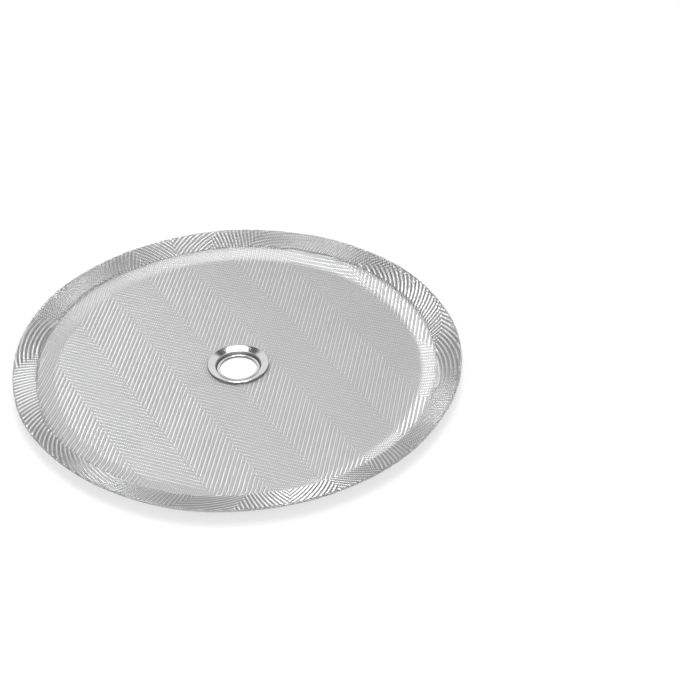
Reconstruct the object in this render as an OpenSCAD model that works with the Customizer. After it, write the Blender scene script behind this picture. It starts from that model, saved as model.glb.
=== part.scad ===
// Round filter screen for a coffee press: a woven steel disc pressed into a shallow dish,
// its edge turned back over the rim as a hem, with a two piece eyelet in the middle.

/* [Dish] */
// outside diameter over the folded rim
rim_d = 102; // [98:0.5:110]
// width of the rim, from its edge in to the shoulder
rim_w = 6; // [5:0.1:8]
// width of the wall, from the shoulder in to the floor
wall_w = 3; // [2.6:0.1:4]
// height of the shoulder over the floor
shoulder_rise = 1.25; // [1:0.05:1.6]
// height of the rim's edge over the floor
rim_rise = 3; // [2.4:0.1:3.4]
// radius of the two bends
bend_r = 1.2; // [0.8:0.1:1.6]
// thickness of the cloth without its ridges
cloth_t = 0.3; // [0.26:0.01:0.36]
// distance from the shoulder to the raw edge of the hem
raw_gap = 0.35; // [0.2:0.05:2]

/* [Weave] */
// width of one band of the herringbone
band_w = 10.85; // [9:0.05:14]
// direction across the bands
band_turn = 25.5; // [0:0.5:90]
// distance from the middle of the disc to the first band's edge
band_shift = -3.1; // [-6:0.1:6]
// angle of the twill lines from the run of the bands
twill_angle = 39.3; // [34:0.1:50]
// distance from twill line to twill line
twill_pitch = 0.95; // [0.9:0.05:2]
// share of the pitch that a ridge fills
ridge_share = 0.52; // [0.4:0.02:0.6]
// height of the ridges
ridge_h = 0.12; // [0.08:0.01:0.16]
// longest straight piece of a ridge on the hem
hem_piece = 9; // [6:0.5:10]
// twill lines from one ridge on the hem to the next
hem_step = 2; // [2:1:4]
// width of a ridge on the hem
hem_ridge_w = 0.7; // [0.5:0.05:0.8]

/* [Openings] */
// openings across the floor
gaps_across = 12; // [8:1:12]
// width of one opening, along the wires
gap_w = 2.2; // [1.2:0.1:2.6]
// plain cloth between the openings and the foot of the wall, and round the washer
gap_margin = 0.8; // [0.4:0.1:2]

/* [Eyelet] */
// diameter of the hole through the eyelet
bore_d = 8.5; // [8:0.1:8.6]
// width of the flat ring that the eyelet stands on
foot_w = 1.35; // [1.15:0.05:1.45]
// width of the skirt that rises from the flat to the cloth
skirt_w = 1.2; // [1:0.05:1.6]
// thickness of the eyelet's sheet
eyelet_t = 0.24; // [0.2:0.01:0.26]
// depth of the skirt, from the foot to the cloth
skirt_depth = 1; // [0.9:0.05:1.2]
// width of the curled lip
lip_w = 0.73; // [0.65:0.01:0.77]
// height of the curled lip over the washer's seat
lip_h = 0.28; // [0.24:0.01:0.34]
// rounding of the lip's outside
lip_round = 0.18; // [0.1:0.01:0.2]
// rounding of the hole's upper edge
mouth_round = 0.14; // [0.08:0.01:0.16]
// rounding of the hole's lower edge
foot_round = 0.2; // [0.1:0.01:0.24]

/* [Washer] */
// outside diameter of the domed washer
washer_d = 14; // [13.4:0.1:15]
// width of the dome's outer fall, from its crest to its edge
edge_w = 0.7; // [0.45:0.05:0.9]
// depth of the roll, from the crest to the straight throat
roll_h = 1.1; // [0.9:0.05:1.3]
// height of the crest over the cloth
crest_h = 0.6; // [0.5:0.05:0.8]
// thickness of the washer's sheet
washer_t = 0.22; // [0.18:0.01:0.24]
// how much wider the throat is at its top, on each side
throat_flare = 0.1; // [0.04:0.01:0.14]
// rounding at the foot of the throat
throat_round = 0.1; // [0.05:0.01:0.14]

/* [Fits] */
// clearance between the washer's roll and the hole in the cloth
cloth_gap = 0.1; // [0.05:0.01:0.3]
// clearance between the washer's throat and the eyelet's lip
lip_gap = 0.12; // [0.08:0.01:0.16]
// clearance between the washer's seat and the eyelet's barrel
seat_gap = 0.03; // [0.02:0.01:0.06]
// margin of plain cloth round the washer and at the foot of the wall
plain_gap = 0.1; // [0.05:0.05:0.3]
// depth to which a ridge is rooted in the cloth
root = 0.06; // [0.04:0.01:0.1]

/* [Hidden] */
steel = [0.78, 0.79, 0.8];
bright = [0.88, 0.88, 0.89];
$fn = 96;
rim_r = rim_d / 2;
shoulder_r = rim_r - rim_w;
floor_r = shoulder_r - wall_w;
bore_r = bore_d / 2;
barrel_r = bore_r + eyelet_t;
lip_r = bore_r + lip_w;
foot_r = bore_r + foot_w;
throat_r = lip_r + lip_gap;
seat_z = eyelet_t + washer_t;
cloth_z = skirt_depth;
cloth_top = cloth_z + cloth_t;
cloth_mid = cloth_z + cloth_t / 2;
crest_z = cloth_top + crest_h;
// roll of the washer, and the hole that the cloth has for it
crest_r = washer_d / 2 - edge_w;
roll_w = crest_r - throat_r - throat_flare;
roll_mid = [crest_r, crest_z - roll_h];
roll_up = max(0, (cloth_top - roll_mid[1]) / (roll_h - washer_t));
hole_r = crest_r - (roll_w - washer_t) * sqrt(1 - roll_up * roll_up) + cloth_gap;
// slopes of the wall and of the rim
wall_a = atan2(shoulder_rise, wall_w);
rim_a = atan2(rim_rise - shoulder_rise, rim_w);
// middles of the two bends
foot_bend = [floor_r - bend_r * tan(wall_a / 2), cloth_mid + bend_r];
shoulder = [shoulder_r, cloth_mid + shoulder_rise];
shoulder_back = bend_r * tan((wall_a - rim_a) / 2);
shoulder_bend = shoulder - shoulder_back * [cos(wall_a), sin(wall_a)] + bend_r * [sin(wall_a), -cos(wall_a)];
// middle of the fold, and the raw edge of the hem
fold_x = rim_r - cloth_t;
fold = [fold_x, shoulder[1] + (fold_x - shoulder[0]) * tan(rim_a) + cloth_t / 2 / cos(rim_a)];
hem_w = (fold_x - shoulder_r - raw_gap) / cos(rim_a);
raw_edge = fold - hem_w * [cos(rim_a), sin(rim_a)];
rim_up = [-sin(rim_a), cos(rim_a)];
// steps of the weave along the bands
pitch_u = twill_pitch / sin(twill_angle);
ridge_u = ridge_share * pitch_u;
swing = band_w / tan(twill_angle);
shortest = 3 * hem_ridge_w;
// depth of the hem ridges, with the sag of a straight piece on the turn of the rim
hem_root = root + hem_piece * hem_piece / 8 / rim_r * tan(rim_a);
bands = ceil((rim_r + rim_w) / band_w) + 1;
lines = ceil((rim_r + rim_w + swing) / pitch_u);

function oval(c, half, a0, a1, n) = [for (i = [0 : n])
  let (a = a0 + (a1 - a0) * i / n) c + [half[0] * cos(a), half[1] * sin(a)]];
function arc(c, r, a0, a1, n) = oval(c, [r, r], a0, a1, n);
function reversed(list) = [for (i = [len(list) - 1 : -1 : 0]) list[i]];

// corner of a twill line at the edge of a band, across the bands and along them
function corner(k, j) = [band_shift + j * band_w, k * pitch_u + (j % 2 == 0 ? -swing / 2 : swing / 2)];

// one twill line over all bands of the cloth
module twill_line(k) {
  path = [for (j = [-bands : bands]) corner(k, j)];
  upper = [for (p = path) p + [0, ridge_u / 2]];
  lower = [for (p = path) p - [0, ridge_u / 2]];
  polygon(concat(upper, reversed(lower)));
}

// ridges of the weave on the flat floor
module floor_ridges() {
  translate([0, 0, cloth_top - root])
    linear_extrude(height = ridge_h + root)
      intersection() {
        rotate(band_turn) for (k = [-lines : lines]) twill_line(k);
        difference() {
          circle(r = foot_bend[0] - plain_gap);
          circle(r = washer_d / 2 + plain_gap);
        }
      }
}

// openings through the floor, in rows along the two sets of wires
module floor_gaps() {
  field_r = foot_bend[0] - gap_margin;
  gap_pitch = 2 * field_r / gaps_across;
  middle = (gaps_across - 1) / 2;
  half_diagonal = gap_w / sqrt(2);
  rotate(band_turn)
    for (i = [0 : gaps_across - 1])
      for (j = [0 : gaps_across - 1])
        let (p = [i - middle, j - middle] * gap_pitch)
          if (norm(p) + half_diagonal < field_r && norm(p) - half_diagonal > washer_d / 2 + gap_margin)
            translate([p[0] - gap_w / 2, p[1] - gap_w / 2, cloth_z - root])
              cube([gap_w, gap_w, cloth_t + ridge_h + 2 * root]);
}

// place on the hem of a place on the flat cloth that lies outside the fold
function turned(p) = p * (2 * rim_r / norm(p) - 1);
// shares of a line at which it crosses a circle
function cross_at(p, d, r) =
  let (b = p * d / (d * d), q = b * b - (p * p - r * r) / (d * d))
  q > 0 ? [-b - sqrt(q), -b + sqrt(q)] : [];
// shares of a twill line that lie in the ring of cloth that makes the hem
function in_ring(p, d, r0, r1) =
  let (o = cross_at(p, d, r1), i = cross_at(p, d, r0), e = plain_gap / norm(d))
  o == [] ? [] : i == [] ? [[max(e, o[0]), min(1 - e, o[1])]]
  : [[max(e, o[0]), min(1 - e, i[0])], [max(e, i[1]), min(1 - e, o[1])]];
// height of the hem's upper face over a place in plan
function hem_z(p) = fold[1] + cloth_t / cos(rim_a) + (norm(p) - fold_x) * tan(rim_a);

// one ridge that lies along the hem from one place to another
module hem_ridge(a, b) {
  p = [a[0], a[1], hem_z(a)];
  d = [b[0], b[1], hem_z(b)] - p;
  out = (a + b) / norm(a + b);
  side = cross([-sin(rim_a) * out[0], -sin(rim_a) * out[1], cos(rim_a)], d / norm(d));
  translate(p)
    rotate([0, -asin(d[2] / norm(d)), atan2(d[1], d[0])])
      rotate([asin(side[2]), 0, 0])
        translate([0, -hem_ridge_w / 2, -hem_root])
          cube([norm(d), hem_ridge_w, ridge_h + hem_root]);
}

// a stretch of a twill line on the hem, in straight pieces that follow the turn of the rim
module hem_stretch(p, d, s) {
  pieces = ceil((s[1] - s[0]) * norm(d) / hem_piece);
  step = (s[1] - s[0]) / pieces;
  gap = plain_gap / norm(d);
  for (i = [0 : pieces - 1])
    hem_ridge(turned(p + (s[0] + i * step + gap) * d), turned(p + (s[0] + (i + 1) * step - gap) * d));
}

// ridges of the weave on the hem, where the cloth lies with its other face up
module hem_ridges() {
  rotate(band_turn)
    for (k = [-lines : hem_step : lines])
      for (j = [-bands : bands - 1])
        let (p = corner(k, j), d = corner(k, j + 1) - p)
          for (s = in_ring(p, d, rim_r + hem_ridge_w, 2 * rim_r - raw_edge[0] - hem_ridge_w / 2))
            if ((s[1] - s[0]) * norm(d) > shortest)
              hem_stretch(p, d, s);
}

// section of the cloth, with its hem lying on the rim
module cloth_section() {
  polygon(concat(
    [[hole_r, cloth_z]],
    arc(foot_bend, bend_r + cloth_t / 2, -90, -90 + wall_a, 3),
    arc(shoulder_bend, bend_r - cloth_t / 2, 90 + wall_a, 90 + rim_a, 1),
    arc(fold, cloth_t, -90 + rim_a, 90 + rim_a, 5),
    [raw_edge + cloth_t * rim_up, raw_edge],
    arc(shoulder_bend, bend_r + cloth_t / 2, 90 + rim_a, 90 + wall_a, 1),
    arc(foot_bend, bend_r - cloth_t / 2, -90 + wall_a, -90, 3),
    [[hole_r, cloth_top]]));
}

module mesh_screen() {
  color(steel) {
    difference() {
      union() {
        rotate_extrude() cloth_section();
        floor_ridges();
      }
      floor_gaps();
    }
    hem_ridges();
  }
}

module eyelet() {
  // the skirt curves up from the foot to the cloth
  skirt_z = skirt_depth - eyelet_t;
  skirt_r = (skirt_w * skirt_w + skirt_z * skirt_z) / 2 / skirt_z;
  skirt_mid = [foot_r, skirt_r];
  skirt_out = asin(skirt_w / skirt_r);
  skirt_in = asin((skirt_w - eyelet_t) / (skirt_r - eyelet_t));
  lip_z = seat_z + lip_h;
  color(bright)
    rotate_extrude()
      polygon(concat(
        arc([bore_r + foot_round, foot_round], foot_round, 180, 270, 4),
        arc(skirt_mid, skirt_r, -90, -90 + skirt_out, 6),
        [[foot_r + skirt_w, skirt_depth], [foot_r + skirt_w - eyelet_t, skirt_depth]],
        arc(skirt_mid, skirt_r - eyelet_t, -90 + skirt_in, -90, 6),
        [[barrel_r, eyelet_t], [barrel_r, seat_z], [lip_r, seat_z]],
        arc([lip_r - lip_round, lip_z - lip_round], lip_round, 0, 90, 4),
        arc([bore_r + mouth_round, lip_z - mouth_round], mouth_round, 90, 180, 4)));
}

module top_washer() {
  // the dome falls from its crest to the cloth, and rolls over into the throat
  dome_z = crest_h - washer_t;
  dome_r = (edge_w * edge_w + dome_z * dome_z) / 2 / dome_z;
  dome_mid = [crest_r, crest_z - dome_r];
  dome_out = asin(edge_w / dome_r);
  dome_in = asin((edge_w - washer_t) / (dome_r - washer_t));
  color(bright)
    rotate_extrude()
      polygon(concat(
        arc(dome_mid, dome_r, 90 - dome_out, 90, 6),
        oval(roll_mid, [roll_w, roll_h], 90, 180, 8),
        arc([throat_r - throat_round, seat_z + throat_round], throat_round, 0, -90, 3),
        [[barrel_r + seat_gap, seat_z], [barrel_r + seat_gap, eyelet_t]],
        arc([throat_r, eyelet_t + washer_t], washer_t, -90, 0, 4),
        oval(roll_mid, [roll_w - washer_t, roll_h - washer_t], 180, 90, 6),
        arc(dome_mid, dome_r - washer_t, 90, 90 - dome_in, 5),
        [[washer_d / 2 - washer_t, cloth_top], [washer_d / 2, cloth_top]]));
}

mesh_screen();
eyelet();
top_washer();
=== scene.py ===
"""Visual model of a round filter screen: herringbone wire cloth with a set eyelet, in the shared frame."""

import logging
import math
from dataclasses import dataclass, field
from enum import Enum

import bpy
import numpy as np
from mathutils import Matrix, Vector


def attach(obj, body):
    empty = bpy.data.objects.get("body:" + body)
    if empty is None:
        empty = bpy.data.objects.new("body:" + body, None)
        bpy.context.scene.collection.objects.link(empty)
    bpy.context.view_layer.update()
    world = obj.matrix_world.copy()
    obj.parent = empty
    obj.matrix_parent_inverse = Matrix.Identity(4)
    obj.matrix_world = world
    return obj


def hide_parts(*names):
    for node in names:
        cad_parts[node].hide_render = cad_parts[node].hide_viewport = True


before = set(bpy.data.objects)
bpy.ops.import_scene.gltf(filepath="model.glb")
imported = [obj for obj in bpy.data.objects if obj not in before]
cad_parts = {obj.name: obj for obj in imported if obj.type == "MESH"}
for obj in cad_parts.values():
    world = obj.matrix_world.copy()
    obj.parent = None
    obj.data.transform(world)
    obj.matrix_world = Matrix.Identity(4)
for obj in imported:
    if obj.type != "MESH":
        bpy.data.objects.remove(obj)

LOG = logging.getLogger("screen")
MM = 0.001

Colour = tuple[float, float, float]
Point = tuple[float, float]


class Role(Enum):
    """Which way a wire runs in the cloth."""

    WARP = "warp"
    WEFT = "weft"


class Zone(Enum):
    """Part of the cloth that becomes one piece."""

    FLOOR_WARP = "floor_warp"
    FLOOR_WEFT = "floor_weft"
    RIM = "rim"
    HEM = "hem"


class Graph:
    """Adds nodes to a node tree and links them."""

    def __init__(self, tree: bpy.types.NodeTree) -> None:
        """Wraps a node tree.

        Args:
            tree: The tree that takes the nodes.
        """
        self.tree = tree

    def add(self, kind: str, inputs: dict | None = None, **props: object) -> bpy.types.Node:
        """Adds one node.

        Args:
            kind: The node's type name.
            inputs: Values or output sockets for its inputs, by name or index.
            props: Properties to set on the node.

        Returns:
            The new node.
        """
        node = self.tree.nodes.new(kind)
        for name, value in props.items():
            setattr(node, name, value)
        for key, value in (inputs or {}).items():
            if isinstance(value, bpy.types.NodeSocket):
                self.tree.links.new(value, node.inputs[key])
            else:
                node.inputs[key].default_value = value
        return node

    def math(self, operation: str, a: object, b: object = 0.0) -> bpy.types.NodeSocket:
        """Adds a Math node.

        Args:
            operation: The operation's name.
            a: First value or socket.
            b: Second value or socket.

        Returns:
            The result's socket.
        """
        return self.add("ShaderNodeMath", {0: a, 1: b}, operation=operation).outputs[0]

    def length(self, x: object, y: object) -> bpy.types.NodeSocket:
        """Adds the nodes for the length of a flat vector.

        Args:
            x: First part, a value or socket.
            y: Second part, a value or socket.

        Returns:
            The length's socket.
        """
        squares = self.math("ADD", self.math("POWER", x, 2.0), self.math("POWER", y, 2.0))
        return self.math("SQRT", squares)

    def remap(self, value: object, source: Point, target: Point) -> bpy.types.NodeSocket:
        """Adds a clamped Map Range node.

        Args:
            value: The value or socket to remap.
            source: Start and end of the source range.
            target: Start and end of the target range.

        Returns:
            The result's socket.
        """
        inputs = {0: value, 1: source[0], 2: source[1], 3: target[0], 4: target[1]}
        return self.add("ShaderNodeMapRange", inputs).outputs[0]

    def mix(self, share: object, a: object, b: object) -> bpy.types.NodeSocket:
        """Adds a colour mix.

        Args:
            share: Share of the second colour.
            a: First colour or socket.
            b: Second colour or socket.

        Returns:
            The colour's socket.
        """
        return self.add("ShaderNodeMix", {0: share, 6: a, 7: b}, data_type="RGBA").outputs[2]

    def noise(self, place: object, scale: object, detail: object) -> bpy.types.NodeSocket:
        """Adds a noise texture.

        Args:
            place: Socket of the coordinates.
            scale: Scale, a value or socket.
            detail: Detail, a value or socket.

        Returns:
            The socket of the noise's value.
        """
        inputs = {"Vector": place, "Scale": scale, "Detail": detail}
        return self.add("ShaderNodeTexNoise", inputs).outputs[0]

    def attribute(self, name: str) -> bpy.types.NodeSocket:
        """Adds a node that reads a mesh attribute.

        Args:
            name: The attribute's name.

        Returns:
            The socket of the attribute's value.
        """
        return self.add("ShaderNodeAttribute", attribute_name=name).outputs["Fac"]

    def place(self) -> bpy.types.NodeSocket:
        """Adds a node that reads object coordinates.

        Returns:
            The coordinates' socket.
        """
        return self.add("ShaderNodeTexCoord").outputs["Object"]

    def feed(self, node: bpy.types.Node, inputs: dict[str, object]) -> None:
        """Sets or links inputs of a node that is there already.

        Args:
            node: The node.
            inputs: Values or output sockets by the inputs' names.
        """
        for name, value in inputs.items():
            if isinstance(value, bpy.types.NodeSocket):
                self.tree.links.new(value, node.inputs[name])
            else:
                node.inputs[name].default_value = value


def opaque(colour: Colour) -> tuple[float, float, float, float]:
    """Adds full opacity to a colour.

    Args:
        colour: Red, green and blue.

    Returns:
        The colour with alpha one.
    """
    return (*colour, 1.0)


def new_material(name: str) -> tuple[bpy.types.Material, Graph, bpy.types.Node]:
    """Makes a material with nodes.

    Args:
        name: The material's name.

    Returns:
        The material, its node graph and its surface shader.
    """
    material = bpy.data.materials.new(name)
    material.use_nodes = True
    shader = material.node_tree.nodes["Principled BSDF"]
    return material, Graph(material.node_tree), shader


@dataclass(frozen=True)
class WearGroup:
    """Shader group of handling marks that both finishes use: a soft mask and a fine height."""

    name: str = "handling_wear"
    patch: float = 120.0
    fine: float = 3000.0
    detail: float = 4.0
    fine_detail: float = 2.0
    mask_range: Point = (0.38, 0.68)

    def build(self) -> bpy.types.NodeTree:
        """Makes the group.

        Returns:
            The shader node group, with Patch, Fine and Detail inputs and Mask and Height outputs.
        """
        tree = bpy.data.node_groups.new(self.name, "ShaderNodeTree")
        for label, value in (("Patch", self.patch), ("Fine", self.fine), ("Detail", self.detail)):
            socket = tree.interface.new_socket(name=label, in_out="INPUT", socket_type="NodeSocketFloat")
            socket.default_value = value
        for label in ("Mask", "Height"):
            tree.interface.new_socket(name=label, in_out="OUTPUT", socket_type="NodeSocketFloat")
        g = Graph(tree)
        given = g.add("NodeGroupInput").outputs
        result = g.add("NodeGroupOutput")
        place = g.place()
        broad = g.noise(place, given["Patch"], given["Detail"])
        mask = g.remap(broad, self.mask_range, (0.0, 1.0))
        height = g.noise(place, given["Fine"], self.fine_detail)
        g.feed(result, {"Mask": mask, "Height": height})
        return tree


@dataclass(frozen=True)
class WovenSteel:
    """Finish of the drawn wire: a painted highlight on its crowns, painted shade where wires dip under each
    other and on the hem, each wire its own tone.
    """

    # Crowns are painted up to bright as a highlight; dips are painted down to dull and the hem to the deep
    # colour, as painted shade.
    bright: Colour = (0.97, 0.97, 0.97)
    dull: Colour = (0.43, 0.43, 0.435)
    hem_shade_colour: Colour = (0.27, 0.27, 0.27)
    stain: Colour = (0.60, 0.60, 0.61)
    stain_share: float = 0.10
    crown_range: Point = (0.25, 1.0)
    crown_share: Point = (0.04, 1.0)
    rough: float = 0.28
    rough_by_tone: float = 0.08
    rough_by_mark: float = 0.05
    mark_patch: float = 70.0
    mark_fine: float = 9000.0
    grain: float = 0.15
    grain_depth: float = 0.00002

    def build(self, wear: bpy.types.NodeTree) -> bpy.types.Material:
        """Makes the material.

        Args:
            wear: The shared group of handling marks.

        Returns:
            The wire's material, which reads the tone, lift and shade attributes of the wires.
        """
        material, g, shader = new_material("woven_steel")
        tone = g.attribute("tone")
        marks = g.add("ShaderNodeGroup", node_tree=wear)
        g.feed(marks, {"Patch": self.mark_patch, "Fine": self.mark_fine})
        mask = marks.outputs["Mask"]
        # Painted highlight on the crowns and painted shade in the dips: brightness follows the lift of the
        # wire.
        crown = g.remap(g.attribute("lift"), self.crown_range, self.crown_share)
        # Painted shade of the doubled hem: where shade is one the low colour goes from dull to deep.
        low = g.mix(g.attribute("shade"), opaque(self.dull), opaque(self.hem_shade_colour))
        colour = g.mix(g.math("MULTIPLY", crown, tone), low, opaque(self.bright))
        stained = g.mix(g.math("MULTIPLY", mask, self.stain_share), colour, opaque(self.stain))
        rough = g.math("ADD", g.math("MULTIPLY", tone, self.rough_by_tone), self.rough)
        rough = g.math("ADD", rough, g.math("MULTIPLY", mask, self.rough_by_mark))
        bump = g.add("ShaderNodeBump", {"Strength": self.grain, "Distance": self.grain_depth})
        g.feed(bump, {"Height": marks.outputs["Height"]})
        g.feed(shader, {"Base Color": stained, "Roughness": rough, "Normal": bump.outputs[0]})
        g.feed(shader, {"Metallic": 1.0})
        return material


@dataclass(frozen=True)
class PolishedSteel:
    """Finish of the stamped rings: mirror bright, with faint turning lines and handling marks, and painted
    shade in their recesses.
    """

    bright: Colour = (0.62, 0.62, 0.625)
    dull: Colour = (0.54, 0.54, 0.55)
    dull_share: float = 0.35
    # Nearly black colour of the painted shade in the recesses, which are also rougher.
    recess_shade: Colour = (0.20, 0.20, 0.205)
    recess_rough: float = 0.4
    rough: float = 0.13
    rough_by_line: float = 0.05
    rough_by_mark: float = 0.06
    line_scale: float = 9000.0
    line_detail: float = 3.0
    line_share: float = 0.5
    mark_patch: float = 420.0
    mark_fine: float = 2600.0
    grain: float = 0.06
    grain_depth: float = 0.00003

    def build(self, wear: bpy.types.NodeTree) -> bpy.types.Material:
        """Makes the material.

        Args:
            wear: The shared group of handling marks.

        Returns:
            The rings' material, which reads their unshaded attribute and paints shade where it is nought.
        """
        material, g, shader = new_material("polished_steel")
        lines = self._lines(g)
        marks = g.add("ShaderNodeGroup", node_tree=wear)
        g.feed(marks, {"Patch": self.mark_patch, "Fine": self.mark_fine})
        mask = marks.outputs["Mask"]
        unshaded = g.attribute("unshaded")
        colour = g.mix(g.math("MULTIPLY", mask, self.dull_share), opaque(self.bright), opaque(self.dull))
        # Painted shade: the throat, the barrel, the washer's edge and its underside go nearly black where
        # the unshaded share is nought.
        colour = g.mix(unshaded, opaque(self.recess_shade), colour)
        base = g.remap(unshaded, (0.0, 1.0), (self.recess_rough, self.rough))
        rough = g.math("ADD", g.math("MULTIPLY", lines, self.rough_by_line), base)
        rough = g.math("ADD", rough, g.math("MULTIPLY", mask, self.rough_by_mark))
        fine = g.math("MULTIPLY", marks.outputs["Height"], 1.0 - self.line_share)
        height = g.math("ADD", g.math("MULTIPLY", lines, self.line_share), fine)
        bump = g.add("ShaderNodeBump", {"Strength": self.grain, "Distance": self.grain_depth})
        g.feed(bump, {"Height": height})
        g.feed(shader, {"Base Color": colour, "Roughness": rough, "Normal": bump.outputs[0]})
        g.feed(shader, {"Metallic": 1.0})
        return material

    def _lines(self, g: Graph) -> bpy.types.NodeSocket:
        """Adds the turning lines, which run round the axis of the disc.

        Args:
            g: The material's node graph.

        Returns:
            The socket of the lines' value.
        """
        parts = g.add("ShaderNodeSeparateXYZ", {0: g.place()}).outputs
        radius = g.math("MULTIPLY", g.length(parts[0], parts[1]), self.line_scale)
        height = g.math("MULTIPLY", parts[2], self.line_scale)
        ring = g.add("ShaderNodeCombineXYZ", {0: radius, 1: height})
        return g.noise(ring.outputs[0], 1.0, self.line_detail)


@dataclass(frozen=True)
class PaperFloor:
    """Finish of the pale studio floor, which glows a little, like a lit table."""

    colour: Colour = (0.175, 0.175, 0.175)
    shade: float = 0.985
    cloud_scale: float = 6.0
    cloud_detail: float = 2.0
    rough: float = 0.9
    sheen: float = 0.1
    glow: float = 0.65

    def build(self) -> bpy.types.Material:
        """Makes the material.

        Returns:
            A matt white with a very faint paper tone.
        """
        material, g, shader = new_material("studio_paper")
        cloud = g.noise(g.place(), self.cloud_scale, self.cloud_detail)
        shaded = tuple(part * self.shade for part in self.colour)
        g.feed(shader, {"Base Color": g.mix(cloud, opaque(self.colour), opaque(shaded))})
        g.feed(shader, {"Roughness": self.rough, "Specular IOR Level": self.sheen})
        g.feed(shader, {"Emission Color": (1.0, 1.0, 1.0, 1.0), "Emission Strength": self.glow})
        return material


@dataclass(frozen=True)
class Wave:
    """A wave round the disc.

    Attributes:
        count: Number of crests in one turn.
        height: Height in millimetres.
        phase: Start in radians.
    """

    count: int
    height: float
    phase: float = 0.0

    def at(self, turn: np.ndarray) -> np.ndarray:
        """Height of the wave.

        Args:
            turn: Angles in radians.

        Returns:
            Heights in millimetres.
        """
        return self.height * np.sin(self.count * turn + self.phase)


@dataclass(frozen=True)
class Bump:
    """A single swelling at one place of the disc's edge.

    Attributes:
        middle: Where it is, in degrees.
        width: How far it reaches, in radians.
        height: Its height in millimetres.
    """

    middle: float
    width: float
    height: float

    def at(self, turn: np.ndarray) -> np.ndarray:
        """Height of the swelling.

        Args:
            turn: Angles in radians.

        Returns:
            Heights in millimetres.
        """
        apart = np.angle(np.exp(1j * (turn - math.radians(self.middle))))
        return self.height * np.exp(-((apart / self.width) ** 2))


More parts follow.
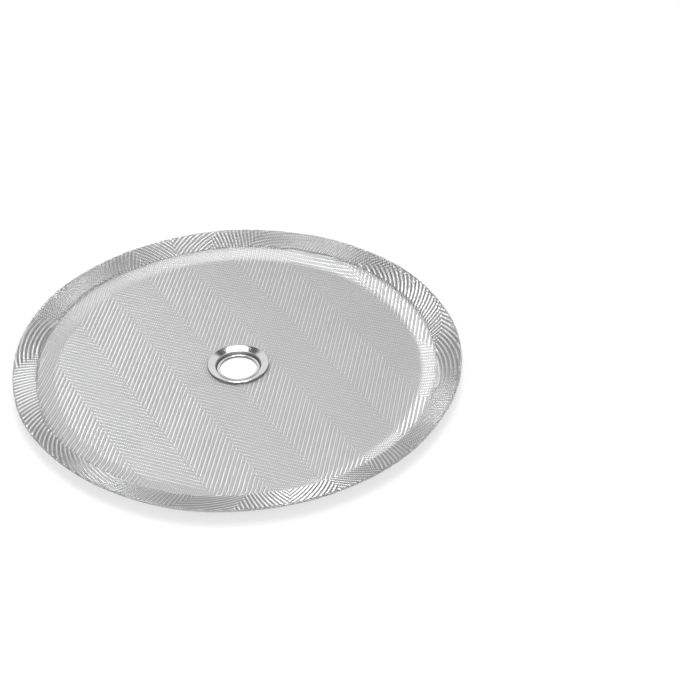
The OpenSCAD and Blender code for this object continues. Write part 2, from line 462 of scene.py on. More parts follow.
@dataclass(frozen=True)
class Dish:
    """Form of the pressed cloth in millimetres: floor, wall, rim, fold and hem, a little uneven."""

    floor_z: float = 1.15
    rim_r: float = 51.0
    rim_w: float = 6.0
    wall_w: float = 3.0
    shoulder_rise: float = 1.25
    rim_rise: float = 3.0
    bend: float = 1.3
    fold_gap: float = 0.18
    fold_inset: float = 0.40
    hem_length: float = 5.45
    hem_press: float = 0.06
    press_w: float = 2.0
    probe: float = 0.05
    sway_w: float = 11.0
    sway: tuple[Wave, ...] = (Wave(3, 0.16, 0.6), Wave(7, 0.10, 2.1), Wave(13, 0.05))
    bob: tuple[Wave, ...] = (Wave(2, 0.07, 1.0), Wave(5, 0.05, 0.4))
    bob_sink: float = 0.06
    bulge_h: float = 0.05
    bulge_x: Point = (0.16, 0.7)
    bulge_y: Point = (0.13, 0.2)
    bulge_from: float = 8.0
    bulge_rise: float = 8.0
    bulge_to: float = 40.0
    bulge_fall: float = 12.0
    cut_waves: tuple[Wave, ...] = (Wave(4, 0.16, 0.8), Wave(9, 0.10, 2.0))
    cut_bumps: tuple[Bump, ...] = (Bump(-93.0, 0.24, 0.9), Bump(-154.0, 0.22, -1.0))
    # Painted light on the wall's wires fades in and out over these distances.
    painted_wall_light_early: float = 0.5
    painted_wall_light_late: float = 0.3
    painted_wall_light_fade: float = 0.8

    @property
    def shoulder_r(self) -> float:
        """Radius at which the wall meets the rim.

        Returns:
            Millimetres.
        """
        return self.rim_r - self.rim_w

    @property
    def floor_r(self) -> float:
        """Radius at which the floor meets the wall.

        Returns:
            Millimetres.
        """
        return self.shoulder_r - self.wall_w

    @property
    def rim_slope(self) -> float:
        """Slope of the rim as a tangent.

        Returns:
            Rise over run.
        """
        return (self.rim_rise - self.shoulder_rise) / self.rim_w

    @property
    def wall_slope(self) -> float:
        """Slope of the wall as a tangent.

        Returns:
            Rise over run.
        """
        return self.shoulder_rise / self.wall_w

    @property
    def fold_start(self) -> float:
        """Cloth radius at which the fold starts.

        Returns:
            Millimetres from the middle of the flat cloth.
        """
        return self.rim_r - self.fold_inset

    @property
    def fold_length(self) -> float:
        """Length of cloth in the fold.

        Returns:
            Millimetres.
        """
        return math.pi * self.fold_gap

    @property
    def fold_end(self) -> float:
        """Cloth radius at which the fold ends and the hem starts.

        Returns:
            Millimetres from the middle of the flat cloth.
        """
        return self.fold_start + self.fold_length

    @property
    def cloth_r(self) -> float:
        """Radius of the flat cloth before it was folded.

        Returns:
            Millimetres.
        """
        return self.fold_end + self.hem_length

    def _ramp(self, x: np.ndarray) -> np.ndarray:
        """A ramp that starts at nought, with its corner rounded over the bend.

        Args:
            x: Distances from the corner in millimetres.

        Returns:
            Nought before the corner and the distance after it.
        """
        half = self.bend / 2.0
        rounded = (x + half) ** 2 / (4.0 * half)
        return np.where(x < -half, 0.0, np.where(x > half, x, rounded))

    def rise(self, r: np.ndarray) -> np.ndarray:
        """Height of the lower layer's middle over the floor, with both bends rounded.

        Args:
            r: Radii in millimetres.

        Returns:
            Heights in millimetres.
        """
        wall = self.wall_slope * self._ramp(r - self.floor_r)
        rim = (self.rim_slope - self.wall_slope) * self._ramp(r - self.shoulder_r)
        return wall + rim

    def slope(self, r: np.ndarray) -> np.ndarray:
        """Slope of the lower layer along the radius.

        Args:
            r: Radii in millimetres.

        Returns:
            Rise over run.
        """
        return (self.rise(r + self.probe) - self.rise(r - self.probe)) / (2.0 * self.probe)

    def uneven(self, r: np.ndarray, turn: np.ndarray) -> tuple[np.ndarray, np.ndarray]:
        """Small unevenness of the pressed rim and of the floor.

        Args:
            r: Radii in millimetres.
            turn: Angles in radians.

        Returns:
            Radial and vertical offsets in millimetres.
        """
        edge = np.clip((r - self.rim_r + self.sway_w) / self.sway_w, 0.0, 1.0) ** 2
        radial = edge * sum(wave.at(turn) for wave in self.sway)
        upward = edge * (sum(wave.at(turn) for wave in self.bob) - self.bob_sink)
        outer = np.clip((self.bulge_to - r) / self.bulge_fall, 0.0, 1.0)
        inner = np.clip((r - self.bulge_from) / self.bulge_rise, 0.0, 1.0)
        along_x = np.sin(r * np.cos(turn) * self.bulge_x[0] + self.bulge_x[1])
        along_y = np.cos(r * np.sin(turn) * self.bulge_y[0] + self.bulge_y[1])
        return radial, upward + outer * inner * self.bulge_h * along_x * along_y

    def hem_cut(self, turn: np.ndarray) -> np.ndarray:
        """How much the raw edge of the hem runs out of true.

        Args:
            turn: Angles in radians.

        Returns:
            Extra hem length in millimetres.
        """
        return sum(part.at(turn) for part in (*self.cut_waves, *self.cut_bumps))

    def painted_wall_light(self, rho: np.ndarray) -> np.ndarray:
        """How much painted light the wires of the wall get.

        Args:
            rho: Distances from the middle of the flat cloth in millimetres.

        Returns:
            Nought on the floor and on the rim, one on the wall.
        """
        rising = np.clip((rho - self.floor_r + self.painted_wall_light_early) / self.painted_wall_light_fade, 0.0, 1.0)
        falling = np.clip((self.shoulder_r + self.painted_wall_light_late - rho) / self.painted_wall_light_fade, 0.0, 1.0)
        return rising * falling

    def place(self, cloth: np.ndarray, lift: np.ndarray) -> np.ndarray:
        """Carries points of the flat cloth to the pressed and hemmed disc.

        Args:
            cloth: Points of the flat cloth in millimetres, n by 2.
            lift: Height over the middle of the cloth, on its face side, in millimetres.

        Returns:
            Points in millimetres, n by 3.
        """
        rho = np.hypot(cloth[:, 0], cloth[:, 1])
        turn = np.arctan2(cloth[:, 1], cloth[:, 0])
        section = self._section(rho, lift[:, None])
        radial, upward = self.uneven(section[:, 0], turn)
        r = section[:, 0] + radial
        return np.stack([r * np.cos(turn), r * np.sin(turn), section[:, 1] + upward], 1)

    def _section(self, rho: np.ndarray, lift: np.ndarray) -> np.ndarray:
        """Carries points along the radius: over floor, wall and rim, round the fold and back along the hem.

        Args:
            rho: Distances from the middle of the flat cloth in millimetres.
            lift: Height over the middle of the cloth as a column, in millimetres.

        Returns:
            Radii and heights in millimetres, n by 2.
        """
        lower_r = np.minimum(rho, self.fold_start)
        slope = self.slope(lower_r)
        long = np.hypot(1.0, slope)
        tangent = np.stack([1.0 / long, slope / long], 1)
        normal = np.stack([-slope / long, 1.0 / long], 1)
        base = np.stack([lower_r, self.floor_z + self.rise(lower_r)], 1)
        past = (rho - self.fold_start)[:, None]
        angle = np.clip(past / self.fold_gap, 0.0, math.pi)
        outwards = np.sin(angle) * tangent - np.cos(angle) * normal
        back = np.clip(past - self.fold_length, 0.0, None)
        press = np.clip((back - self.hem_length + self.press_w) / self.press_w, 0.0, 1.0) ** 2
        middle = base + self.fold_gap * (normal + outwards) - self.hem_press * press * normal
        folded = middle - back * tangent - lift * outwards
        return np.where(past <= 0.0, base + lift * normal, folded)


@dataclass(frozen=True)
class Weave:
    """The herringbone twill: two over, two under, one wire on at each step, turning back at each band."""

    warp_pitch: float = 0.31
    weft_pitch: float = 0.379
    band_ends: int = 35
    band_shift: float = -3.1
    band_turn: float = math.radians(25.5)
    over: int = 2
    crimp: float = 0.105
    hole_r: float = 5.70
    spare: int = 3
    drift: float = 0.006
    drift_knots: int = 24
    seed: int = 7

    def step(self, i: np.ndarray) -> np.ndarray:
        """Step of the twill at a warp wire.

        Args:
            i: Indices of warp wires.

        Returns:
            By how many weft wires the pattern is shifted there.
        """
        band = i // self.band_ends
        n = i % self.band_ends
        return np.where(band % 2 == 0, n, self.band_ends - n)

    def warp_on_top(self, i: np.ndarray, j: np.ndarray) -> np.ndarray:
        """Whether the warp lies over the weft.

        Args:
            i: Indices of warp wires.
            j: Indices of weft wires.

        Returns:
            True where the warp is on the face side.
        """
        return (j - self.step(i)) % (2 * self.over) < self.over

    def flat(self, across: np.ndarray, along: np.ndarray) -> np.ndarray:
        """Turns weave coordinates to the disc's own axes.

        Args:
            across: Distances across the bands in millimetres.
            along: Distances along the bands in millimetres.

        Returns:
            Points of the flat cloth, n by 2.
        """
        c = math.cos(self.band_turn)
        s = math.sin(self.band_turn)
        return np.stack([c * across - s * along, s * across + c * along], 1)

    def pitch(self, role: Role) -> float:
        """Distance between neighbouring wires.

        Args:
            role: Warp or weft.

        Returns:
            Millimetres.
        """
        return self.warp_pitch if role is Role.WARP else self.weft_pitch

    def shift(self, role: Role) -> float:
        """Place of the wire with the number nought.

        Args:
            role: Warp or weft.

        Returns:
            Millimetres from the middle of the cloth.
        """
        return self.band_shift + 0.5 * self.warp_pitch if role is Role.WARP else 0.0

    def wire(self, role: Role, index: int, reach: float) -> tuple[np.ndarray, np.ndarray]:
        """Corners of one wire: the middle of each float, on alternating sides of the cloth.

        Args:
            role: Warp or weft.
            index: The wire's number.
            reach: Half the length that the wire needs, in millimetres.

        Returns:
            Positions along the wire and the side it is on there, plus one for the face.
        """
        crossing = Role.WEFT if role is Role.WARP else Role.WARP
        pitch = self.pitch(crossing)
        origin = self.shift(crossing)
        first = math.floor((-reach - origin) / pitch) - self.spare
        last = math.ceil((reach - origin) / pitch) + self.spare
        other = np.arange(first, last + 1)
        mine = np.full_like(other, index)
        top = self.warp_on_top(mine, other) if role is Role.WARP else ~self.warp_on_top(other, mine)
        starts = np.concatenate([[0], np.nonzero(np.diff(top.astype(int)))[0] + 1])
        ends = np.concatenate([starts[1:] - 1, [len(top) - 1]])
        at = origin + pitch * (other[starts] + other[ends]) / 2.0
        return at, np.where(top[starts], 1.0, -1.0)


@dataclass
class WireTubes:
    """Geometry Nodes tree that sweeps a section along wire centrelines."""

    name: str = "wire_tubes"
    tree: bpy.types.NodeTree | None = None
    sockets: dict[str, str] = field(default_factory=dict)

    def build(self) -> None:
        """Makes the tree, with Radius, Sides and Finish as its inputs."""
        tree = bpy.data.node_groups.new(self.name, "GeometryNodeTree")
        interface = tree.interface
        interface.new_socket(name="Geometry", in_out="INPUT", socket_type="NodeSocketGeometry")
        kinds = {"Radius": "NodeSocketFloat", "Sides": "NodeSocketInt", "Finish": "NodeSocketMaterial"}
        for label, kind in kinds.items():
            socket = interface.new_socket(name=label, in_out="INPUT", socket_type=kind)
            self.sockets[label] = socket.identifier
        interface.new_socket(name="Geometry", in_out="OUTPUT", socket_type="NodeSocketGeometry")
        g = Graph(tree)
        given = g.add("NodeGroupInput").outputs
        result = g.add("NodeGroupOutput")
        paths = g.add("GeometryNodeMeshToCurve", {0: given["Geometry"]})
        level = g.add("GeometryNodeSetCurveNormal", {0: paths.outputs[0]}, mode="Z_UP")
        ring = g.add("GeometryNodeCurvePrimitiveCircle")
        g.feed(ring, {"Resolution": given["Sides"], "Radius": given["Radius"]})
        turned = g.add("GeometryNodeTransform", {"Geometry": ring.outputs[0]})
        g.feed(turned, {"Rotation": (0.0, 0.0, math.pi / 2.0)})
        tubes = g.add("GeometryNodeCurveToMesh")
        g.feed(tubes, {"Curve": level.outputs[0], "Profile Curve": turned.outputs[0]})
        smooth = g.add("GeometryNodeSetShadeSmooth", {"Geometry": tubes.outputs[0]})
        real = g.add("GeometryNodeRealizeInstances", {"Geometry": smooth.outputs[0]})
        painted = g.add("GeometryNodeSetMaterial", {"Geometry": real.outputs[0]})
        g.feed(painted, {"Material": given["Finish"]})
        g.feed(result, {"Geometry": painted.outputs[0]})
        self.tree = tree

    def sweep(self, piece: bpy.types.Object, radius: float, sides: int, finish: bpy.types.Material) -> None:
        """Turns a piece of centrelines into a mesh of wires.

        Args:
            piece: Object whose mesh holds the centrelines as edges.
            radius: Radius of the wire in metres.
            sides: Number of sides of the wire.
            finish: Material of the wire.
        """
        modifier = piece.modifiers.new(self.name, "NODES")
        modifier.node_group = self.tree
        modifier[self.sockets["Radius"]] = radius
        modifier[self.sockets["Sides"]] = sides
        modifier[self.sockets["Finish"]] = finish
        graph = bpy.context.evaluated_depsgraph_get()
        swept = piece.evaluated_get(graph)
        made = bpy.data.meshes.new_from_object(swept, preserve_all_data_layers=True, depsgraph=graph)
        old = piece.data
        piece.modifiers.clear()
        piece.data = made
        made.name = piece.name
        bpy.data.meshes.remove(old)


@dataclass(frozen=True)
class Stretch:
    """Corners of one wire within one zone.

    Attributes:
        points: Places in millimetres, n by 3.
        lift: Share of the crimp at each corner, plus one on the face side, raised on the wall for its
            painted highlight.
        tone: How bright the wire is at each corner, its own random tone with painted light and shade added.
    """

    points: np.ndarray
    lift: np.ndarray
    tone: np.ndarray


@dataclass
class WovenScreen:
    """The wire cloth as four pieces of real wires: warp and weft of the floor, the rim and the hem."""

    finish: bpy.types.Material
    dish: Dish = field(default_factory=Dish)
    weave: Weave = field(default_factory=Weave)
    wire_r: float = 0.098
    sides: int = 3
    split_r: float = 44.9
    overrun: float = 1.2
    fold_shares: tuple[float, ...] = (0.0, 0.33, 0.67, 1.0)
    fold_clear: float = 0.4
    least_step: float = 0.06
    # Warps are painted darker as shade and wefts lighter as highlight, to pick out the twill lines;
    # tone_spread gives each wire its own random tone.
    warp_shaded_tone: float = 0.46
    weft_lit_tone: float = 0.90
    tone_spread: float = 0.10
    # Painted light on the wall: its warps are painted lighter and its crowns broader.
    wall_lit_tone: float = 0.74
    wall_highlight_lift: float = 0.15
    # Painted shade of the doubled hem on its warps, and a broader painted highlight on its crowns.
    hem_painted_shade: float = 0.30
    hem_highlight_lift: float = 0.45
    pieces: list[bpy.types.Object] = field(default_factory=list)
    store: dict[Zone, list[Stretch]] = field(default_factory=dict)

    def build(self) -> None:
        """Lays out all wires and sweeps them."""
        self.store = {zone: [] for zone in Zone}
        rng = np.random.default_rng(self.weave.seed)
        for role in Role:
            self._lay(role, rng)
        tubes = WireTubes()
        tubes.build()
        for zone in Zone:
            piece = self._centrelines(zone)
            tubes.sweep(piece, self.wire_r * MM, self.sides, self.finish)
            self.pieces.append(piece)
            LOG.info("%s has %d faces", piece.name, len(piece.data.polygons))

    def dress(self) -> None:
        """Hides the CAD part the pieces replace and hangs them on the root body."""
        for piece in self.pieces:
            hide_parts("mesh_screen")
            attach(piece, "root")

    def _lay(self, role: Role, rng: np.random.Generator) -> None:
        """Lays the wires of one direction and stores their stretches.

        Args:
            role: Warp or weft.
            rng: Source of the small irregularities.
        """
        weave = self.weave
        pitch = weave.pitch(role)
        shift = weave.shift(role)
        limit = self.dish.cloth_r + self.overrun
        knots = np.linspace(-limit, limit, weave.drift_knots)
        first = math.ceil((-limit - shift) / pitch)
        last = math.floor((limit - shift) / pitch)
        for index in range(first, last + 1):
            side = shift + index * pitch
            reach = math.sqrt(max(limit * limit - side * side, 0.0))
            at, top = self._refine(*weave.wire(role, index, reach), side)
            offset = side + np.interp(at, knots, rng.normal(0.0, weave.drift, weave.drift_knots))
            cloth = weave.flat(offset, at) if role is Role.WARP else weave.flat(at, offset)
            # Painted light and shade: warps start darker than wefts.
            own = self.warp_shaded_tone if role is Role.WARP else self.weft_lit_tone
            self._cut(role, cloth, top * weave.crimp, own + self.tone_spread * float(rng.random()))

    def _refine(self, at: np.ndarray, top: np.ndarray, side: float) -> tuple[np.ndarray, np.ndarray]:
        """Adds corners where a wire runs round the fold.

        Args:
            at: Positions along the wire.
            top: Side of the cloth at each.
            side: Distance of the wire from the middle of the cloth.

        Returns:
            Positions and sides with the fold's corners added.
        """
        extra: list[float] = []
        for share in self.fold_shares:
            radius = self.dish.fold_start + share * self.dish.fold_length
            if radius > abs(side) + self.fold_clear:
                half = math.sqrt(radius * radius - side * side)
                extra += [-half, half]
        added = np.array(extra)
        places = np.concatenate([at, added])
        tops = np.concatenate([top, np.interp(added, at, top)])
        order = np.argsort(places)
        keep = np.concatenate([[True], np.diff(places[order]) > self.least_step])
        return places[order][keep], tops[order][keep]

    def _zones(self, rho: np.ndarray, turn: np.ndarray) -> np.ndarray:
        """Sorts corners of a wire by zone.

        Args:
            rho: Distances from the middle of the flat cloth in millimetres.
            turn: Angles in radians.

        Returns:
            Nought on the floor, one on the rim, two on the hem, and minus one where there is no cloth.
        """
        dish = self.dish
        names = np.full(len(rho), -1)
        names[(rho >= self.weave.hole_r) & (rho <= self.split_r)] = 0
        names[(rho > self.split_r) & (rho <= dish.fold_end)] = 1
        names[(rho > dish.fold_end) & (rho <= dish.cloth_r + dish.hem_cut(turn))] = 2
        return names

    def _cut(self, role: Role, cloth: np.ndarray, lift: np.ndarray, tone: float) -> None:
        """Cuts one wire at the hole, the shoulder, the fold and the raw edge.

        Args:
            role: Warp or weft.
            cloth: Corners of the wire on the flat cloth.
            lift: Their height over the middle of the cloth.
            tone: Share that sets how bright this wire is.
        """
        rho = np.hypot(cloth[:, 0], cloth[:, 1])
        turn = np.arctan2(cloth[:, 1], cloth[:, 0])
        zones = (Zone.FLOOR_WARP if role is Role.WARP else Zone.FLOOR_WEFT, Zone.RIM, Zone.HEM)
        names = self._zones(rho, turn)
        points = self.dish.place(cloth, lift)
        painted_wall_light = self.dish.painted_wall_light(rho)
        # Painted light: the wall's wires are painted lighter.
        tones = tone + np.maximum(self.wall_lit_tone - tone, 0.0) * painted_wall_light
        # Painted shade: the warps of the fold and hem are painted darker.
        if role is Role.WARP:
            tones = tones - self.hem_painted_shade * (rho > self.dish.fold_start)
        # Painted highlight: the crown share is raised on the wall.
        shine = lift / self.weave.crimp + self.wall_highlight_lift * painted_wall_light
        breaks = np.nonzero(np.diff(names))[0] + 1
        starts = [0, *breaks]
        ends = [*breaks, len(names)]
        for start, end in zip(starts, ends):
            goes_on = end < len(names) and names[end] >= 0
            span = slice(start, end + 1 if goes_on else end)
            if names[start] >= 0 and len(points[span]) > 1:
                stretch = Stretch(points[span], shine[span], tones[span])
                self.store[zones[names[start]]].append(stretch)

    def _centrelines(self, zone: Zone) -> bpy.types.Object:
        """Makes an object that holds a zone's wires as edges.

        Args:
            zone: The zone.

        Returns:
            The object, with tone, lift and shade attributes on its points.
        """
        runs = self.store[zone]
        points = np.concatenate([run.points for run in runs]) * MM
        lift = np.concatenate([run.lift for run in runs])
        on_hem = zone is Zone.HEM
        # On the hem the lift is turned over and raised for a broader painted highlight, and shade is one,
        # which paints the hem's wires darker.
        values = {
            "tone": np.concatenate([run.tone for run in runs]),
            "lift": self.hem_highlight_lift - lift if on_hem else lift,
            "shade": np.full(len(points), float(on_hem)),
        }
        ids = np.arange(len(points))
        last = np.cumsum([len(run.points) for run in runs]) - 1
        edges = np.delete(np.stack([ids, ids + 1], 1), last, axis=0)
        mesh = bpy.data.meshes.new("woven_" + zone.value)
        mesh.from_pydata(points.tolist(), edges.tolist(), [])
        for label, data in values.items():
            layer = mesh.attributes.new(label, "FLOAT", "POINT")
            layer.data.foreach_set("value", data.astype(np.float32))
        piece = bpy.data.objects.new("woven_" + zone.value, mesh)
        bpy.context.scene.collection.objects.link(piece)
        return piece


@dataclass
class Ring:
    """A stamped ring, turned from a smooth section."""

    name: str
    node: str
    finish: bpy.types.Material
    turns: int = 192
    crease: float = math.radians(38.0)
    least_step: float = 0.0001
    piece: bpy.types.Object | None = None

    def section(self) -> list[Point]:
        """Section of the ring.

        Returns:
            Corners in millimetres, radius and height, in order round the section.
        """
        raise NotImplementedError

    def unshaded(self, profile: np.ndarray) -> np.ndarray:
        """Share of the section's corners left out of the painted shade.

        Args:
            profile: Corners in millimetres, radius and height.

        Returns:
            One where the ring is left as it is, nought in its recesses, which get painted shade.
        """
        raise NotImplementedError

    @staticmethod
    def arc(mid: Point, r: float, a0: float, a1: float, steps: int) -> list[Point]:
        """Points of an arc.

        Args:
            mid: Middle of the arc.
            r: Radius.
            a0: First angle in degrees.
            a1: Last angle in degrees.
            steps: Number of steps.

        Returns:
            The points, ends included.
        """
        angles = np.radians(np.linspace(a0, a1, steps + 1))
        return [(mid[0] + r * math.cos(a), mid[1] + r * math.sin(a)) for a in angles]

    def build(self) -> None:
        """Turns the section round the axis of the disc."""
        corners = np.array(self.section())
        moved = np.linalg.norm(np.diff(corners, axis=0), axis=1) > self.least_step
        profile = corners[np.concatenate([[True], moved])]
        angles = np.linspace(0.0, 2.0 * math.pi, self.turns, endpoint=False)
        grid = np.zeros((self.turns, len(profile), 3))
        grid[:, :, 0] = np.cos(angles)[:, None] * profile[None, :, 0]
        grid[:, :, 1] = np.sin(angles)[:, None] * profile[None, :, 0]
        grid[:, :, 2] = profile[None, :, 1]
        ids = np.arange(self.turns * len(profile)).reshape(self.turns, len(profile))
        following = np.roll(ids, -1, 0)
        quads = [ids, following, np.roll(following, -1, 1), np.roll(ids, -1, 1)]
        faces = np.stack(quads, 2).reshape(-1, 4)
        mesh = bpy.data.meshes.new(self.name)
        mesh.from_pydata((grid.reshape(-1, 3) * MM).tolist(), [], faces.tolist())
        mesh.polygons.foreach_set("use_smooth", np.ones(len(faces), dtype=bool))
        mesh.set_sharp_from_angle(angle=self.crease)
        mesh.materials.append(self.finish)
        # Each point carries its unshaded share, which the material turns into painted shade in the
        # recesses.
        shine = np.tile(self.unshaded(profile), self.turns).astype(np.float32)
        mesh.attributes.new("unshaded", "FLOAT", "POINT").data.foreach_set("value", shine)
        self.piece = bpy.data.objects.new(self.name, mesh)
        bpy.context.scene.collection.objects.link(self.piece)
        LOG.info("%s has %d faces", self.name, len(faces))

    def dress(self) -> None:
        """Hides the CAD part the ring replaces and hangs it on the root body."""
        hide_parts(self.node)
        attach(self.piece, "root")


@dataclass
class Eyelet(Ring):
    """The lower ring: its skirt presses on the cloth from below, its lip is curled over the seat."""

    bore_r: float = 4.25
    foot_r: float = 5.6
    foot_round: float = 0.2
    skirt_r: float = 6.8
    skirt_round: float = 0.06
    depth: float = 1.0
    sheet: float = 0.24
    seat: float = 0.46
    lip_r: float = 4.98
    lip_h: float = 0.28
    lip_inset: float = 0.02
    lip_round: float = 0.19
    bore_round: float = 0.14
    # Painted shade reaches this far past the bore.
    shade_band: float = 0.1
    round_steps: int = 8
    edge_steps: int = 4
    skirt_steps: int = 14
    inner_steps: int = 12

    def unshaded(self, profile: np.ndarray) -> np.ndarray:
        """Share left unshaded: the inside of the barrel gets painted shade and is rougher.

        Args:
            profile: Corners in millimetres, radius and height.

        Returns:
            One where the ring is left as it is, nought in the barrel's painted shade.
        """
        near_bore = profile[:, 0] < self.bore_r + self.shade_band
        below_lip = profile[:, 1] < self.seat + 0.5 * self.lip_h
        return np.where(near_bore & below_lip, 0.0, 1.0)

    def section(self) -> list[Point]:
        """Section of the eyelet.

        Returns:
            Corners in millimetres.
        """
        run = self.skirt_r - self.foot_r
        rise = self.depth - self.sheet
        bow = (run * run + rise * rise) / (2.0 * rise)
        mid = (self.foot_r, bow)
        outer = math.degrees(math.asin(run / bow))
        inner = math.degrees(math.asin((run - self.sheet) / (bow - self.sheet)))
        top = self.seat + self.lip_h
        foot = (self.bore_r + self.foot_round, self.foot_round)
        skirt = (self.skirt_r - self.skirt_round, self.depth - self.skirt_round)
        lip = (self.lip_r - self.lip_round, top - self.lip_round)
        bore = (self.bore_r + self.bore_round, top - self.bore_round)
        return [
            *self.arc(foot, self.foot_round, 180, 270, self.round_steps),
            *self.arc(mid, bow, -90, -90 + outer, self.skirt_steps),
            *self.arc(skirt, self.skirt_round, 0, 90, self.edge_steps),
            (self.skirt_r - self.sheet, self.depth),
            *self.arc(mid, bow - self.sheet, -90 + inner, -90, self.inner_steps),
            (self.bore_r + self.sheet, self.sheet),
            (self.bore_r + self.sheet, self.seat),
            (self.lip_r - self.lip_inset, self.seat),
            *self.arc(lip, self.lip_round, 0, 90, self.round_steps),
            *self.arc(bore, self.bore_round, 90, 180, self.round_steps),
        ]


@dataclass
class TopWasher(Ring):
    """The upper ring: a flange that falls inwards and rolls over into a throat, seated on the eyelet."""

    washer_r: float = 7.0
    cloth_top: float = 1.3
    sheet: float = 0.22
    edge_round: float = 0.22
    edge_h: float = 0.64
    lean_out: float = 16.0
    lean_in: float = 28.0
    funnel_r: float = 8.25
    throat_round: float = 0.14
    flange_w: float = 1.86
    # Painted shade covers this band at the throat and at the outer edge.
    shade_band: float = 0.10
    seat_round: float = 0.1
    barrel_r: float = 4.52
    seat: float = 0.46
    floor: float = 0.24
    round_steps: int = 8
    edge_steps: int = 10
    funnel_steps: int = 14
    seat_steps: int = 6

    def unshaded(self, profile: np.ndarray) -> np.ndarray:
        """Share left unshaded: the throat below the flange, the outer edge and the underside get painted
        shade and are rougher.

        Args:
            profile: Corners in millimetres, radius and height.

        Returns:
            One where the ring is left as it is, nought in the painted shade of the throat, the edge and the
            underside.
        """
        past_throat = profile[:, 0] > self.washer_r - self.flange_w + self.shade_band
        within_edge = profile[:, 0] < self.washer_r - self.shade_band
        over_cloth = profile[:, 1] > self.cloth_top
        return np.where(past_throat & within_edge & over_cloth, 1.0, 0.0)

    def section(self) -> list[Point]:
        """Section of the washer.

        Returns:
            Corners in millimetres.
        """
        edge = (self.washer_r - self.edge_round, self.cloth_top + self.edge_h - self.edge_round)
        start = 90.0 + self.lean_out
        stop = 90.0 + self.lean_in
        funnel = self._along(edge, self.edge_round - self.funnel_r, start)
        bend = self._along(funnel, self.funnel_r - self.throat_round, stop)
        throat = bend[0] - self.throat_round
        under = self.funnel_r - self.sheet
        turn = math.degrees(math.acos((throat + self.sheet - funnel[0]) / under))
        seat = (throat - self.seat_round, self.seat + self.seat_round)
        foot = (throat, self.floor + self.sheet)
        return [
            (self.washer_r, self.cloth_top),
            *self.arc(edge, self.edge_round, 0, start, self.edge_steps),
            *self.arc(funnel, self.funnel_r, start, stop, self.funnel_steps),
            *self.arc(bend, self.throat_round, stop, 180, self.round_steps),
            *self.arc(seat, self.seat_round, 0, -90, self.seat_steps),
            (self.barrel_r, self.seat),
            (self.barrel_r, self.floor),
            *self.arc(foot, self.sheet, -90, 0, self.round_steps),
            *self.arc(funnel, under, turn, start, self.edge_steps),
            (self.washer_r - self.sheet, self.cloth_top),
        ]

    @staticmethod
    def _along(start: Point, distance: float, angle: float) -> Point:
        """Moves a point.

        Args:
            start: The point.
            distance: How far it moves.
            angle: Which way, in degrees.

        Returns:
            The moved point.
        """
        turn = math.radians(angle)
        return start[0] + distance * math.cos(turn), start[1] + distance * math.sin(turn)


@dataclass(frozen=True)
class Softbox:
    """A soft light that faces the disc.

    Attributes:
        name: Its name.
        at: Where it hangs, in metres.
        size: Its width and height in metres.
        power: Its power in watts.
    """

    name: str
    at: tuple[float, float, float]
    size: Point
    power: float

    def build(self) -> None:
        """Adds the light."""
        lamp = bpy.data.lights.new(self.name, "AREA")
        lamp.shape = "RECTANGLE"
        lamp.size = self.size[0]
        lamp.size_y = self.size[1]
        lamp.energy = self.power
        holder = bpy.data.objects.new(self.name, lamp)
        holder.location = self.at
        holder.rotation_euler = (-Vector(self.at)).to_track_quat("-Z", "Y").to_euler()
        bpy.context.scene.collection.objects.link(holder)


@dataclass(frozen=True)
class Room:
    """Pale room all round, with a dark ceiling round a bright middle overhead.

    The limits are parts of a direction of length one: its height for the ceiling, and its distance
    from straight up for the middle, which is narrower across than along.
    """

    pale: Colour = (1.14, 1.14, 1.14)
    dark: Colour = (0.06, 0.06, 0.06)
    ceiling: Point = (0.77, 0.81)
    middle: Point = (0.42, 0.52)
    narrow: float = 2.0

    def build(self) -> None:
        """Makes the world."""
        world = bpy.data.worlds.new("studio_room")
        world.use_nodes = True
        g = Graph(world.node_tree)
        way = g.add("ShaderNodeTexCoord").outputs["Generated"]
        parts = g.add("ShaderNodeSeparateXYZ", {0: way}).outputs
        below = g.remap(parts[2], self.ceiling, (1.0, 0.0))
        apart = g.length(g.math("MULTIPLY", parts[0], self.narrow), parts[1])
        above = g.remap(apart, self.middle, (1.0, 0.0))
        colour = g.mix(g.math("ADD", below, above), opaque(self.dark), opaque(self.pale))
        g.feed(world.node_tree.nodes["Background"], {"Color": colour, "Strength": 1.0})
        bpy.context.scene.world = world


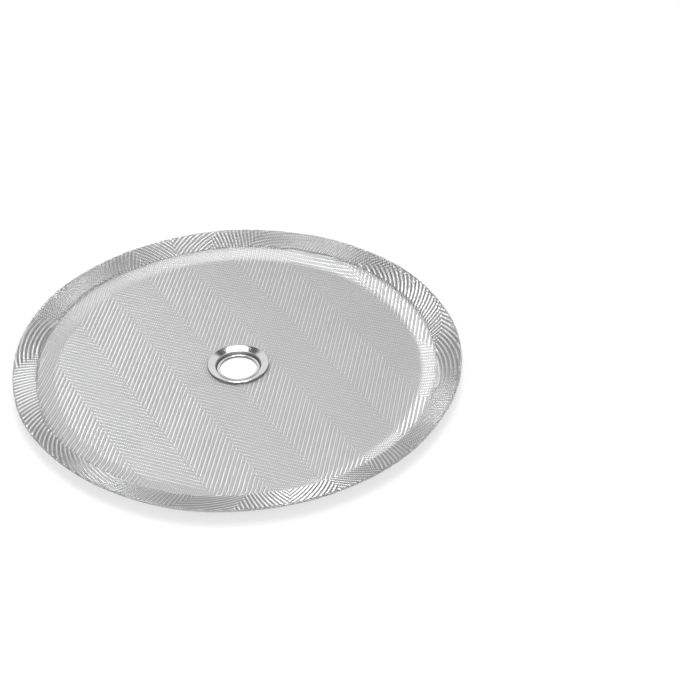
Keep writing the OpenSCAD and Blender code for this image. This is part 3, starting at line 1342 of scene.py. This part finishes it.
@dataclass(frozen=True)
class View:
    """Camera of the photograph, fitted to the disc's outline."""

    focal_px: float = 1634.6
    image_px: float = 680.0
    elevation: float = math.radians(38.62)
    roll: float = math.radians(-3.57)
    distance: float = 374.0
    centre_px: Point = (238.28, 365.06)
    aim_z: float = 1.3
    sensor: float = 36.0
    nearest: float = 0.01
    farthest: float = 10.0

    def build(self) -> None:
        """Adds the camera, turned so that the disc's middle falls where the photograph has it."""
        data = bpy.data.cameras.new("camera")
        data.sensor_width = self.sensor
        data.lens = self.focal_px / self.image_px * self.sensor
        data.clip_start = self.nearest
        data.clip_end = self.farthest
        forward = Vector((0.0, math.cos(self.elevation), -math.sin(self.elevation)))
        aim = Vector((0.0, 0.0, self.aim_z * MM))
        camera = bpy.data.objects.new("camera", data)
        stand = Matrix.Translation(aim - forward * self.distance * MM)
        camera.matrix_world = stand @ self._turn(forward).to_4x4()
        bpy.context.scene.collection.objects.link(camera)
        bpy.context.scene.camera = camera

    def _turn(self, forward: Vector) -> Matrix:
        """Turn of the camera.

        Args:
            forward: Direction from the camera to the disc's middle.

        Returns:
            The turn as a 3 by 3 matrix.
        """
        level = Vector((1.0, 0.0, 0.0))
        upright = level.cross(forward)
        c = math.cos(self.roll)
        s = math.sin(self.roll)
        facing = Matrix((c * level + s * upright, c * upright - s * level, -forward)).transposed()
        across = (self.centre_px[0] - self.image_px / 2.0) / self.focal_px
        down = (self.centre_px[1] - self.image_px / 2.0) / self.focal_px
        seen = Vector((across, -down, -1.0)).normalized()
        return facing @ seen.rotation_difference(Vector((0.0, 0.0, -1.0))).to_matrix()


@dataclass
class Studio:
    """Pale floor, soft lights, the room and the camera of the photograph."""

    paper: bpy.types.Material
    floor_half: float = 4.0
    lights: tuple[Softbox, ...] = (
        Softbox("top_softbox", (0.0, -0.05, 0.65), (0.32, 0.38), 5.6),
        Softbox("front_softbox", (0.05, -0.62, 0.68), (1.3, 0.45), 5.2),
    )
    room: Room = field(default_factory=Room)
    view: View = field(default_factory=View)

    def build(self) -> None:
        """Adds the floor, the room, the lights and the camera."""
        self._floor()
        self.room.build()
        for light in self.lights:
            light.build()
        self.view.build()
        bpy.context.scene.view_settings.view_transform = "Standard"

    def _floor(self) -> None:
        """Adds the floor as a wide plane at the foot of the eyelet."""
        w = self.floor_half
        mesh = bpy.data.meshes.new("studio_floor")
        mesh.from_pydata([(-w, -w, 0.0), (w, -w, 0.0), (w, w, 0.0), (-w, w, 0.0)], [], [(0, 1, 2, 3)])
        mesh.materials.append(self.paper)
        floor = bpy.data.objects.new("studio_floor", mesh)
        bpy.context.scene.collection.objects.link(floor)


def main() -> None:
    """Builds the screen, its rings and the studio."""
    logging.basicConfig(level=logging.INFO, format="%(name)s: %(message)s")
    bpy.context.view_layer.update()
    wear = WearGroup().build()
    polished = PolishedSteel().build(wear)
    parts = (
        WovenScreen(WovenSteel().build(wear)),
        Eyelet("eyelet_ring", "eyelet", polished),
        TopWasher("washer_ring", "top_washer", polished),
    )
    for part in parts:
        part.build()
        part.dress()
    Studio(PaperFloor().build()).build()
    bpy.context.view_layer.update()


if __name__ == "__main__":
    main()
